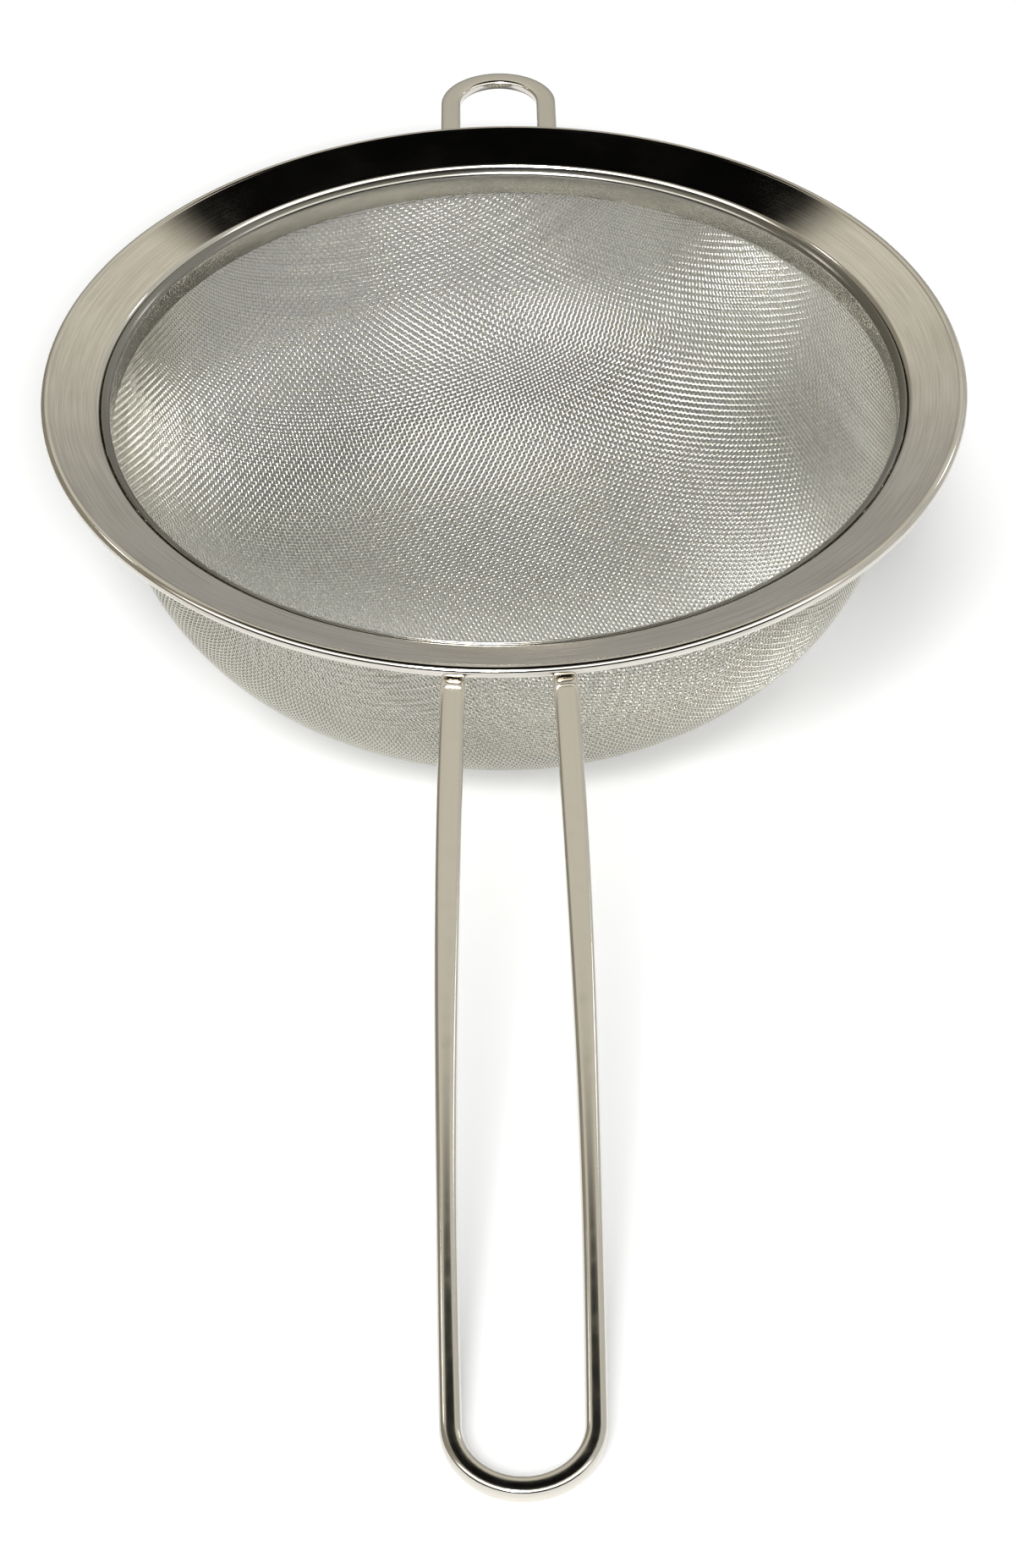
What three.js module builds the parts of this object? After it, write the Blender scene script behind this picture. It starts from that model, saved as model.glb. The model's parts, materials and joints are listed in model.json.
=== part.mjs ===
import * as THREE from "three";

// Driving dimensions, in millimetres and degrees

// Rim: a spun sheet ring with a curled outer edge, a sloping flange and a collar that turns down
const RIM_DIAMETER = 200; // over the curl
const RIM_SHEET = 0.6;
const CURL_DIAMETER = 2.4; // over the curl
const CURL_TURN = 270; // how far the edge is rolled round
const FLANGE_SLOPE = 20; // fall of the flange towards the bowl
const BEND_RADIUS = 2; // outside of the bend between flange and collar
const FLANGE_WIDTH = 12.7; // from the outside of the curl to the inside of the collar
const COLLAR_HEIGHT = 5.5; // straight part below the bend

// Wire cloth bowl, its edge held between the collar and the retaining ring
const CLOTH_THICKNESS = 0.64; // two crossing wires
const BOWL_DEPTH = 65; // from where the wall starts to curve in, down to the middle of the bottom
const BOWL_FULLNESS = 2.45; // 2 is an ellipse, more is squarer
const BOWL_WALL = 3.6; // straight wall below the bend before the curve starts
const CLOTH_OPENINGS = 12; // across the bowl: the cloth as a coarse grid of bars
const CLOTH_BAR = 0.3; // share of the grid's spacing that is bar

// Retaining ring: a band with a lip over the edge of the cloth
const RING_SHEET = 0.6;
const RING_HEIGHT = 5;
const RING_RISE = 0.3; // of the lip above the foot of the bend
const RING_EDGE = 0.25; // rounding of the lip

// Handle and hook wire: round, and pressed flat where it is welded under the rim
const WIRE_DIAMETER = 3.5;
const FLAT_WIDTH = 4.8;
const FLAT_THICKNESS = 2.4;
const FLAT_CORNERS = 4; // 2 is an ellipse, more is squarer
const TUCK_BEND = 3; // half length of the bend where a leg starts to follow the flange

const HANDLE_REACH = 180; // beyond the rim
const HANDLE_LEG_SPACING = 21.2; // at the welds
const HANDLE_BOW = 1.1; // how far each leg swells outwards halfway along
const HANDLE_END_RADIUS = 11; // of the half-round end, at the middle of the wire
const HANDLE_FLAT_LENGTH = 25; // beyond the rim before the wire starts to turn round
const HANDLE_TAPER_LENGTH = 115; // from flat to round

const HOOK_REACH = 29.6; // beyond the rim
const HOOK_LEG_SPACING = 23.4;

// Welds in the corner under the bend, one at the end of each leg
const WELD_DIAMETER = 2;
const WELD_OVERHANG = 0.8; // past each side of the leg

const CLEARANCE = 0.3; // between pieces that touch

// Fineness of the round shapes
const AROUND = 64; // steps round the rim and bowl
const CURL_STEPS = 8;
const BEND_STEPS = 4;
const BOWL_STEPS = 24;
const WIRE_SIDES = 16;
const TUCK_STEPS = 4; // where a leg follows the flange
const LEG_STEPS = 8; // from the rim to the round end
const END_STEPS = 8; // in each quarter of a loop's round end

const radians = THREE.MathUtils.degToRad;
const { lerp, smoothstep } = THREE.MathUtils;

// Places that the pieces share, as radius and height, with the top of the curl at height 0
const rimRadius = RIM_DIAMETER / 2;
const slope = radians(FLANGE_SLOPE);
const flangeNormal = new THREE.Vector2(-Math.sin(slope), Math.cos(slope));
const curlCentre = new THREE.Vector2(rimRadius - CURL_DIAMETER / 2, -CURL_DIAMETER / 2);
const flangeEdge = curlCentre.clone().addScaledVector(flangeNormal, CURL_DIAMETER / 2);
const collarInside = rimRadius - FLANGE_WIDTH;
const collarOutside = collarInside + RIM_SHEET;

// Height of the top of the flange, or of a line parallel to it and below it
function flangeHeight(radius, below = 0) {
  return flangeEdge.y - (flangeEdge.x - radius) * Math.tan(slope) - below / Math.cos(slope);
}

const bendCentre = new THREE.Vector2(
  collarInside + BEND_RADIUS,
  flangeHeight(collarInside + BEND_RADIUS, BEND_RADIUS),
);
const ringTop = bendCentre.y + RING_RISE;
const clothTop = ringTop - RING_SHEET - CLEARANCE;
const clothRadius = collarInside - CLEARANCE - CLOTH_THICKNESS / 2;
const ringOutside = clothRadius - CLOTH_THICKNESS / 2 - CLEARANCE;

// Values from one end of a range to the other, in equal steps
function evenly(from, to, steps) {
  return Array.from({ length: steps + 1 }, (_, i) => lerp(from, to, i / steps));
}

// Points on an arc in the radius and height plane, between two angles in radians
function arc(centre, radius, from, to, steps) {
  return evenly(from, to, steps).map(
    (angle) => new THREE.Vector2(centre.x + radius * Math.cos(angle), centre.y + radius * Math.sin(angle)),
  );
}

// A closed outline turned round the Z axis
function turned(outline) {
  return new THREE.LatheGeometry([...outline, outline[0]], AROUND).rotateX(Math.PI / 2);
}

// The rim sheet: its upper side from collar to curl, then its lower side back again
function rimFlange() {
  const collarFoot = bendCentre.y - COLLAR_HEIGHT;
  const flangeUp = Math.PI / 2 + slope;
  const curlEnd = flangeUp - radians(CURL_TURN);
  const upper = [
    new THREE.Vector2(collarInside, collarFoot),
    ...arc(bendCentre, BEND_RADIUS, Math.PI, flangeUp, BEND_STEPS),
    ...arc(curlCentre, CURL_DIAMETER / 2, flangeUp, curlEnd, CURL_STEPS),
  ];
  const lower = [
    ...arc(curlCentre, CURL_DIAMETER / 2 - RIM_SHEET, curlEnd, flangeUp, CURL_STEPS),
    ...arc(bendCentre, BEND_RADIUS - RIM_SHEET, flangeUp, Math.PI, BEND_STEPS),
    new THREE.Vector2(collarOutside, collarFoot),
  ];
  return turned([...upper, ...lower].reverse());
}

// The drawn cloth as a shell with openings: a square grid of bars is rounded off into a disc and laid on
// the bowl, and a plain band in the collar closes it at the top
function meshBowl() {
  const power = 2 / BOWL_FULLNESS;
  const curveTop = bendCentre.y - BOWL_WALL;
  const wall = new THREE.SplineCurve(
    evenly(Math.PI / 2, 0, BOWL_STEPS).map((angle, i) => {
      const across = i === 0 ? 0 : clothRadius * Math.cos(angle) ** power;
      return new THREE.Vector2(across, curveTop - BOWL_DEPTH * Math.sin(angle) ** power);
    }),
  );
  const position = [];
  const index = [];
  const addVertex = (azimuth, radius, height) => {
    position.push(radius * Math.cos(azimuth), radius * Math.sin(azimuth), height);
    return position.length / 3 - 1;
  };
  const addQuad = (a, b, c, d) => index.push(a, b, c, a, c, d);

  // Lines of the grid in a square from -1 to 1: both edges of each bar
  const spacing = 2 / (CLOTH_OPENINGS + CLOTH_BAR);
  const lines = evenly(0, CLOTH_OPENINGS, CLOTH_OPENINGS).flatMap((i) => [
    i * spacing - 1,
    (i + CLOTH_BAR) * spacing - 1,
  ]);
  const last = lines.length - 1;

  // Where two lines cross: the vertices on both sides of the cloth, and at the grid's edge those above
  const crossings = lines.map((y, row) =>
    lines.map((x, column) => {
      const across = x * Math.sqrt(1 - (y * y) / 2);
      const along = y * Math.sqrt(1 - (x * x) / 2);
      const azimuth = Math.atan2(along, across);
      const share = Math.min(Math.hypot(across, along), 1);
      const point = wall.getPointAt(share);
      const tangent = wall.getTangentAt(share);
      const half = CLOTH_THICKNESS / 2;
      const crossing = {
        outer: addVertex(azimuth, point.x + tangent.y * half, point.y - tangent.x * half),
        inner: addVertex(azimuth, point.x - tangent.y * half, point.y + tangent.x * half),
      };
      if (row % last === 0 || column % last === 0) {
        crossing.topOuter = addVertex(azimuth, clothRadius + half, clothTop);
        crossing.topInner = addVertex(azimuth, clothRadius - half, clothTop);
      }
      return crossing;
    }),
  );

  const inGrid = (row, column) => Math.min(row, column) >= 0 && Math.max(row, column) < last;
  const isOpen = (row, column) => row % 2 === 1 && column % 2 === 1;
  for (let row = 0; row < last; row++) {
    for (let column = 0; column < last; column++) {
      if (isOpen(row, column)) continue;
      const corners = [
        crossings[row][column],
        crossings[row][column + 1],
        crossings[row + 1][column + 1],
        crossings[row + 1][column],
      ];
      const beside = [
        [row - 1, column],
        [row, column + 1],
        [row + 1, column],
        [row, column - 1],
      ];
      addQuad(...corners.map((corner) => corner.inner));
      addQuad(...corners.map((corner) => corner.outer).reverse());
      beside.forEach(([nextRow, nextColumn], side) => {
        const from = corners[side];
        const to = corners[(side + 1) % 4];
        if (!inGrid(nextRow, nextColumn)) {
          addQuad(from.outer, to.outer, to.topOuter, from.topOuter);
          addQuad(to.inner, from.inner, from.topInner, to.topInner);
          addQuad(from.topOuter, to.topOuter, to.topInner, from.topInner);
        } else if (isOpen(nextRow, nextColumn)) {
          addQuad(from.outer, to.outer, to.inner, from.inner);
        }
      });
    }
  }
  const geometry = new THREE.BufferGeometry();
  geometry.setAttribute("position", new THREE.Float32BufferAttribute(position, 3));
  geometry.setIndex(index);
  geometry.computeVertexNormals();
  return geometry;
}

// The band that holds the cloth, with its lip over the cloth's edge
function retainingRing() {
  const inside = ringOutside - RING_SHEET;
  const lipOutside = collarInside - CLEARANCE;
  const outline = [
    [inside, ringTop - RING_HEIGHT],
    [ringOutside, ringTop - RING_HEIGHT],
    [ringOutside, ringTop - RING_SHEET],
    [lipOutside, ringTop - RING_SHEET],
    [lipOutside, ringTop - RING_EDGE],
    [lipOutside - RING_EDGE, ringTop],
    [inside + RING_EDGE, ringTop],
    [inside, ringTop - RING_EDGE],
  ];
  return turned(outline.map(([radius, height]) => new THREE.Vector2(radius, height)));
}

// Height of a leg's middle: level past the curl, and along the underside of the flange inside it
const levelHeight = -CURL_DIAMETER - CLEARANCE - FLAT_THICKNESS / 2;
const underFlange = RIM_SHEET + CLEARANCE + FLAT_THICKNESS / 2;
const tuckRadius = flangeEdge.x - (flangeHeight(flangeEdge.x, underFlange) - levelHeight) / Math.tan(slope);

function legHeight(radius) {
  const inwards = tuckRadius - radius;
  if (inwards <= -TUCK_BEND) return levelHeight;
  const drop = inwards >= TUCK_BEND ? inwards : (inwards + TUCK_BEND) ** 2 / (4 * TUCK_BEND);
  return levelHeight - drop * Math.tan(slope);
}

// Radius of a leg's end, clear of its weld
const legEnd =
  bendCentre.x + WELD_DIAMETER / 2 + CLEARANCE + (FLAT_THICKNESS / 2) * Math.sin(slope);

// One side of a loop, from under the rim to the middle of its end, as points across, outwards and up
function loopSide({ reach, spacing, bow, endRadius, endWidth }) {
  const roundStart = rimRadius + reach - endWidth / 2 - endRadius;
  const tucked = evenly(legEnd, tuckRadius + TUCK_BEND, TUCK_STEPS);
  const open = evenly(rimRadius, roundStart, LEG_STEPS);
  const points = [...tucked, ...open].map((outwards) => {
    const share = (outwards - legEnd) / (roundStart - legEnd);
    const across = lerp(spacing / 2, endRadius, share) + 4 * bow * share * (1 - share);
    return new THREE.Vector3(across, outwards, legHeight(Math.hypot(across, outwards)));
  });
  for (let i = 1; i <= END_STEPS; i++) {
    const angle = (i / END_STEPS) * (Math.PI / 2);
    const across = endRadius * Math.cos(angle);
    points.push(new THREE.Vector3(across, roundStart + endRadius * Math.sin(angle), levelHeight));
  }
  points.at(-1).x = 0;
  return points;
}

// A closed wire along a line, its section set at each point and kept level across
function bentWire(line, sectionAt) {
  const position = [];
  const index = [];
  const up = new THREE.Vector3(0, 0, 1);
  line.forEach((point, i) => {
    const along = line[Math.min(i + 1, line.length - 1)].clone().sub(line[Math.max(i - 1, 0)]).normalize();
    const across = along.clone().cross(up).normalize();
    const above = across.clone().cross(along);
    const { width, thickness, corners } = sectionAt(point);
    for (let k = 0; k < WIRE_SIDES; k++) {
      const angle = ((k + 0.5) / WIRE_SIDES) * 2 * Math.PI;
      const side = Math.sign(Math.cos(angle)) * Math.abs(Math.cos(angle)) ** (2 / corners);
      const rise = Math.sign(Math.sin(angle)) * Math.abs(Math.sin(angle)) ** (2 / corners);
      const vertex = point
        .clone()
        .addScaledVector(across, (side * width) / 2)
        .addScaledVector(above, (rise * thickness) / 2);
      position.push(vertex.x, vertex.y, vertex.z);
    }
  });
  const last = (line.length - 1) * WIRE_SIDES;
  for (let k = 0; k < WIRE_SIDES; k++) {
    const next = (k + 1) % WIRE_SIDES;
    for (let ring = 0; ring < last; ring += WIRE_SIDES) {
      const far = ring + WIRE_SIDES;
      index.push(ring + k, far + k, ring + next, ring + next, far + k, far + next);
    }
    if (k > 0 && next > 0) index.push(0, k, next, last, last + next, last + k);
  }
  const geometry = new THREE.BufferGeometry();
  geometry.setAttribute("position", new THREE.Float32BufferAttribute(position, 3));
  geometry.setIndex(index);
  geometry.computeVertexNormals();
  return geometry;
}

// A loop of wire that lies outwards along +Y: one side, its mirror image, and the end they share
function wireLoop(sizes, sectionAt) {
  const side = loopSide(sizes);
  const mirrored = side.slice(0, -1).map((point) => new THREE.Vector3(-point.x, point.y, point.z));
  return bentWire([...mirrored, ...side.reverse()], sectionAt);
}

const flatSection = { width: FLAT_WIDTH, thickness: FLAT_THICKNESS, corners: FLAT_CORNERS };

// Flat at the rim, and round from the end of the taper on
function handleSection(point) {
  const taperStart = rimRadius + HANDLE_FLAT_LENGTH;
  const round = smoothstep(point.y, taperStart, taperStart + HANDLE_TAPER_LENGTH);
  return {
    width: lerp(FLAT_WIDTH, WIRE_DIAMETER, round),
    thickness: lerp(FLAT_THICKNESS, WIRE_DIAMETER, round),
    corners: lerp(FLAT_CORNERS, 2, round),
  };
}

function handleLoop() {
  const sizes = {
    reach: HANDLE_REACH,
    spacing: HANDLE_LEG_SPACING,
    bow: HANDLE_BOW,
    endRadius: HANDLE_END_RADIUS,
    endWidth: WIRE_DIAMETER,
  };
  return wireLoop(sizes, handleSection).rotateZ(Math.PI);
}

function restHook() {
  const sizes = {
    reach: HOOK_REACH,
    spacing: HOOK_LEG_SPACING,
    bow: 0,
    endRadius: HOOK_LEG_SPACING / 2,
    endWidth: FLAT_WIDTH,
  };
  return wireLoop(sizes, () => flatSection);
}

// A short bead of weld in the corner between the collar, the flange and the end of a leg
function weldBead(across, towards) {
  const straight = FLAT_WIDTH + 2 * WELD_OVERHANG - WELD_DIAMETER;
  const outwards = Math.sqrt(bendCentre.x ** 2 - across ** 2);
  return new THREE.CapsuleGeometry(WELD_DIAMETER / 2, straight, 3, 10)
    .rotateZ(Math.PI / 2)
    .rotateZ(-Math.atan2(across, outwards) * towards)
    .translate(across, outwards * towards, bendCentre.y);
}

function piece(name, geometry, color, roughness) {
  const mesh = new THREE.Mesh(geometry, new THREE.MeshStandardMaterial({ color, roughness, metalness: 1 }));
  mesh.name = name;
  return mesh;
}

const handleWeld = HANDLE_LEG_SPACING / 2;
const hookWeld = HOOK_LEG_SPACING / 2;
const bowl = piece("mesh_bowl", meshBowl(), 0xa9a49c, 0.45);
const handle = piece("handle_loop", handleLoop(), 0xc9c3ba, 0.2);

// The strainer with its rim level, and its pieces round the rim's axis
const level = new THREE.Group();
level.add(
  piece("rim_flange", rimFlange(), 0xcfcac2, 0.15),
  piece("mesh_retaining_ring", retainingRing(), 0xb5b0a8, 0.3),
  bowl,
  handle,
  piece("rest_hook", restHook(), 0xc9c3ba, 0.2),
  piece("handle_weld_left", weldBead(-handleWeld, -1), 0x8c8378, 0.5),
  piece("handle_weld_right", weldBead(handleWeld, -1), 0x8c8378, 0.5),
  piece("hook_weld_left", weldBead(-hookWeld, 1), 0x8c8378, 0.5),
  piece("hook_weld_right", weldBead(hookWeld, 1), 0x8c8378, 0.5),
);

// Lowest point of a piece once the strainer is tipped towards its handle
function lowest(mesh, tip) {
  const tipped = mesh.geometry.clone().rotateX(tip);
  tipped.computeBoundingBox();
  return tipped.boundingBox.min.z;
}

// Put down on a table, the strainer tips until the bowl and the end of the handle both touch it
let least = 0;
let most = Math.PI / 4;
for (let halving = 0; halving < 40; halving++) {
  const tip = (least + most) / 2;
  if (lowest(bowl, tip) < lowest(handle, tip)) least = tip;
  else most = tip;
}
level.rotation.x = (least + most) / 2;

const strainer = new THREE.Group();
strainer.add(level);
const box = new THREE.Box3().setFromObject(strainer, true);
level.position.set(-(box.min.x + box.max.x) / 2, -(box.min.y + box.max.y) / 2, -box.min.z);

export default strainer;
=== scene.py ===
# %% [markdown]
# # A fine-mesh strainer
# The CAD model already holds the strainer's pieces at their real size: a spun steel rim, a ring that
# holds the wire cloth, a bowl, a loop handle, a rest hook and four welds. Its solids are coarse, and a
# wide grid of bars stands in for the bowl's cloth. This lesson models each piece again with a finer
# surface, weaves the bowl from single wires, and gives every piece its metal. The frame stays where it
# is, so nothing is fitted by eye.

# %% Load the frame
import json
import math

import bpy
import numpy as np
from mathutils import Matrix, Vector


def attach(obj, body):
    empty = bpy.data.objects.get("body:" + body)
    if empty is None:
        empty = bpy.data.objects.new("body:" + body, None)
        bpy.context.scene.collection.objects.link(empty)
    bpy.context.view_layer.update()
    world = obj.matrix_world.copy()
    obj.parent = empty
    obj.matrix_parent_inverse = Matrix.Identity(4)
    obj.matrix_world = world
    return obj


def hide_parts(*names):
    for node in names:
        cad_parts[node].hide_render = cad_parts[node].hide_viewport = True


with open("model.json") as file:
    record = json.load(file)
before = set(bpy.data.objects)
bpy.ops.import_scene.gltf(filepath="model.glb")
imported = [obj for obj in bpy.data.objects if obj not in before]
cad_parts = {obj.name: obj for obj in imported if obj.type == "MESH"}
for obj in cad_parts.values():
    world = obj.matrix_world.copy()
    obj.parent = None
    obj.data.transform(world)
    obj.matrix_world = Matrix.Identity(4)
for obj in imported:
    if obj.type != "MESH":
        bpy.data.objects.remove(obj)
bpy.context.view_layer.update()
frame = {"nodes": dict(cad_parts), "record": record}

print("CAD nodes:", ", ".join(sorted(frame["nodes"])))

# %% [markdown]
# ## The lean of the rim
# Put down on a table, the strainer tips until the bowl and the end of the handle both touch it. Every
# round piece is far easier to draw about an upright axis, so the pieces are modelled with the rim level
# and its middle at the origin, and leaned over when they are done. The mount under the rest hook tells
# the lean: its axis points straight down out of the rim's plane, and its place is known from the rim.

# %% Find the rim's middle and lean
MM = 0.001
HOOK_REST = Vector((0, 127.2, -5.1)) * MM  # the mount under the hook, from the middle of the level rim

hook_rest = next(mount for mount in frame["record"]["mounts"] if mount["name"] == "hook_rest")
downwards = Vector(hook_rest["axis"])
LEAN = math.atan2(downwards.y, -downwards.z)
RIM_MIDDLE = Vector(hook_rest["pos_m"]) - Matrix.Rotation(LEAN, 3, "X") @ HOOK_REST
LEANED = Matrix.Translation(RIM_MIDDLE) @ Matrix.Rotation(LEAN, 4, "X")
print(f"The rim leans {math.degrees(LEAN):.2f} degrees, its middle is {RIM_MIDDLE.z / MM:.1f} mm up")

# %% [markdown]
# ## The camera
# The photograph looks down on the strainer from behind the end of the handle. The camera is placed from
# the middle of the level rim, because the rim's ellipse is what fixes its height and distance, and it
# leans with the rim. A long lens from about two thirds of a metre gives the same slight narrowing.

# %% Place the camera
CAMERA_PLACE = Vector((-0.7, -513.7, 364.3)) * MM
CAMERA_PITCH = math.radians(43.61)  # below the plane of the rim
CAMERA_ROLL = math.radians(-1.01)
SENSOR_HEIGHT = 36  # mm
IMAGE_HEIGHT = 1853  # pixels
FOCAL_LENGTH = 3400  # pixels

lens = bpy.data.cameras.new("camera")
lens.sensor_fit = "VERTICAL"
lens.sensor_height = SENSOR_HEIGHT
lens.lens = SENSOR_HEIGHT * FOCAL_LENGTH / IMAGE_HEIGHT
camera = bpy.data.objects.new("camera", lens)
bpy.context.scene.collection.objects.link(camera)
pitched = Matrix.Rotation(math.pi / 2 - CAMERA_PITCH, 4, "X") @ Matrix.Rotation(CAMERA_ROLL, 4, "Z")
camera.matrix_world = LEANED @ Matrix.Translation(CAMERA_PLACE) @ pitched
bpy.context.scene.camera = camera
print(f"A {lens.lens:.1f} mm lens, {camera.matrix_world.translation.z:.3f} m above the table")

# %% [markdown]
# ## Drawing an outline and turning it
# The rim and the ring are turned shapes: a line in the plane of radius and height, spun round the axis.
# The line could be typed in as a list of points, but drawing it the way a hand does is clearer. A plane
# is merged to one point, straight stretches are extruded from it and round ones are spun about their own
# centre. The whole line is then spun once round the upright axis, and the seam is merged.

# %% Helpers for turned sheet
AROUND = 256  # steps round the axis
WELD_DISTANCE = MM / 1000
SHARP_EDGE = math.radians(40)
CUT_ANGLE = math.radians(60)  # edges sharper than this are rounded
EASE_STEPS = 3


def only(piece):
    """Select this piece alone and make it active."""
    bpy.ops.object.select_all(action="DESELECT")
    piece.select_set(True)
    bpy.context.view_layer.objects.active = piece


def begin_line(radius, height):
    """Start a piece as one point in edit mode."""
    bpy.ops.object.select_all(action="DESELECT")
    bpy.ops.mesh.primitive_plane_add(size=MM, enter_editmode=True)
    bpy.ops.mesh.merge(type="CENTER")
    bpy.ops.transform.translate(value=(radius, 0, height))


def straight(outwards, upwards):
    """Extrude the line's end point."""
    bpy.ops.mesh.extrude_region_move(TRANSFORM_OT_translate={"value": (outwards, 0, upwards)})


def bend(centre, degrees, steps):
    """Spin the line's end point about a centre; less than nothing is clockwise."""
    middle = (centre[0], 0, centre[1])
    bpy.ops.mesh.spin(steps=steps, angle=math.radians(degrees), center=middle, axis=(0, 1, 0))


def turn_round(name):
    """Spin the line about the upright axis into a sheet that faces up and inwards."""
    bpy.ops.mesh.select_all(action="SELECT")
    bpy.ops.mesh.spin(steps=AROUND, angle=2 * math.pi, center=(0, 0, 0), axis=(0, 0, 1))
    bpy.ops.mesh.select_all(action="SELECT")
    bpy.ops.mesh.remove_doubles(threshold=WELD_DISTANCE)
    bpy.ops.mesh.normals_make_consistent(inside=False)
    bpy.ops.object.mode_set(mode="OBJECT")
    piece = bpy.context.object
    piece.name = name
    if sum(face.normal.z * face.area for face in piece.data.polygons) < 0:
        bpy.ops.object.mode_set(mode="EDIT")
        bpy.ops.mesh.flip_normals()
        bpy.ops.object.mode_set(mode="OBJECT")
    return piece


def apply_modifier(piece, kind, **settings):
    """Add a modifier, set it and apply it."""
    only(piece)
    modifier = piece.modifiers.new(kind.lower(), kind)
    for name, value in settings.items():
        setattr(modifier, name, value)
    bpy.ops.object.modifier_apply(modifier=modifier.name)


def smooth(piece):
    """Shade smoothly, but keep sharp edges."""
    only(piece)
    bpy.ops.object.shade_smooth_by_angle(angle=SHARP_EDGE)


def ease_edges(piece, width):
    """Round the cut edges of a piece."""
    apply_modifier(
        piece, "BEVEL", width=width, segments=EASE_STEPS, limit_method="ANGLE", angle_limit=CUT_ANGLE
    )


def sheet_from_line(name, thickness, edge):
    """Turn the drawn line, thicken it away from its face and round its cut edges."""
    piece = turn_round(name)
    apply_modifier(piece, "SOLIDIFY", thickness=thickness, offset=-1, use_even_offset=True)
    ease_edges(piece, edge)
    smooth(piece)
    print(f"{name}: {len(piece.data.polygons)} faces")
    return piece


# %% [markdown]
# ## The rim
# The rim is one ring of sheet, spun on a lathe. Its collar stands upright round the bowl, a tight bend
# turns it out into the sloping flange, and the flange's edge is curled under so that no cut edge shows.
# A slight hollow leads up to the crown of the curl, and the polish shows it as a thin line. The drawn
# line is the top side of the sheet, and Solidify thickens it downwards.

# %% Draw and spin the rim
RIM_RADIUS = 99.98 * MM
RIM_SHEET = 0.6 * MM
CURL_RADIUS = 1.2 * MM
CURL_TURN = 270
FLANGE_SLOPE = math.radians(20)
BEND_RADIUS = 2 * MM
FLANGE_WIDTH = 12.7 * MM
COLLAR_HEIGHT = 5.5 * MM
BEAD_RADIUS = 1.3 * MM  # of the bead's crown, which rolls on into the tighter curl
CROWN_ENDS = math.radians(40)  # its slope there, outwards and down
HOLLOW_RADIUS = 1.2 * MM
HOLLOW_TURN = math.radians(12)
CUT_EDGE = 0.1 * MM
EDGE_LOOP = 0.3 * MM  # keeps the smooth shading of bends and lines off the flat flange
BEND_STEPS = 12
HOLLOW_STEPS = 6
CROWN_STEPS = 14
CURL_STEPS = 18

curl_centre = (RIM_RADIUS - CURL_RADIUS, -CURL_RADIUS)
flange_edge = (
    curl_centre[0] - CURL_RADIUS * math.sin(FLANGE_SLOPE),
    curl_centre[1] + CURL_RADIUS * math.cos(FLANGE_SLOPE),
)
collar_inside = RIM_RADIUS - FLANGE_WIDTH


def flange_height(radius, below=0.0):
    """Height of the flange's top, or of a line parallel to it and below it."""
    fall = (flange_edge[0] - radius) * math.tan(FLANGE_SLOPE)
    return flange_edge[1] - fall - below / math.cos(FLANGE_SLOPE)


bend_radius_place = collar_inside + BEND_RADIUS
bend_centre = (bend_radius_place, flange_height(bend_radius_place, BEND_RADIUS))
flange_foot = bend_radius_place - BEND_RADIUS * math.sin(FLANGE_SLOPE)
apart = HOLLOW_RADIUS + BEAD_RADIUS  # from the hollow's centre to the bead's
tighter = BEAD_RADIUS - CURL_RADIUS
bead_radius_place = RIM_RADIUS - CURL_RADIUS - tighter * math.sin(CROWN_ENDS)
bead_below = apart * math.cos(HOLLOW_TURN) - HOLLOW_RADIUS
bead_centre = (bead_radius_place, flange_height(bead_radius_place, bead_below))
steep = FLANGE_SLOPE + HOLLOW_TURN
hollow_centre = (bead_centre[0] - apart * math.sin(steep), bead_centre[1] + apart * math.cos(steep))
rolled_centre = (
    bead_centre[0] + tighter * math.sin(CROWN_ENDS),
    bead_centre[1] + tighter * math.cos(CROWN_ENDS),
)
hollow_start = hollow_centre[0] + HOLLOW_RADIUS * math.sin(FLANGE_SLOPE)

begin_line(collar_inside, bend_centre[1] - COLLAR_HEIGHT)
straight(0, COLLAR_HEIGHT)
bend(bend_centre, math.degrees(FLANGE_SLOPE) - 90, BEND_STEPS)
reached = flange_foot
for radius in (flange_foot + EDGE_LOOP, hollow_start - EDGE_LOOP, hollow_start):
    straight(radius - reached, flange_height(radius) - flange_height(reached))
    reached = radius
bend(hollow_centre, math.degrees(HOLLOW_TURN), HOLLOW_STEPS)
bend(bead_centre, -math.degrees(steep + CROWN_ENDS), CROWN_STEPS)
bend(rolled_centre, math.degrees(FLANGE_SLOPE + CROWN_ENDS) - CURL_TURN, CURL_STEPS)
rim = sheet_from_line("rim_flange_spun", RIM_SHEET, CUT_EDGE)

# %% [markdown]
# ## The ring that holds the cloth
# Inside the collar sits a plain band of satin steel, which traps the cut edge of the wire cloth against
# the collar. Its top flares out towards the rim's bend and leaves a narrow dark gap there, with the wire
# ends below it. It is drawn like the rim: up the inner face and round the flare, then thickened outwards.

# %% Draw and spin the ring
CLEARANCE = 0.3 * MM
CLOTH_THICKNESS = 0.64 * MM
RING_SHEET = 0.6 * MM
RING_HEIGHT = 5 * MM
RING_RISE = 0.3 * MM
FLARE_DROP = 0.27 * MM  # from the middle of the rim's bend down to the start of the flare
FLARE_RADIUS = 1.5 * MM
FLARE_TURN = math.radians(55)
FLARE_LIP = 1.2 * MM
FLARE_STEPS = 10

ring_top = bend_centre[1] + RING_RISE
cloth_radius = collar_inside - CLEARANCE - CLOTH_THICKNESS / 2
ring_inside = cloth_radius - CLOTH_THICKNESS / 2 - CLEARANCE - RING_SHEET

flare_start = bend_centre[1] - FLARE_DROP
ring_bottom = ring_top - RING_HEIGHT

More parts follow.
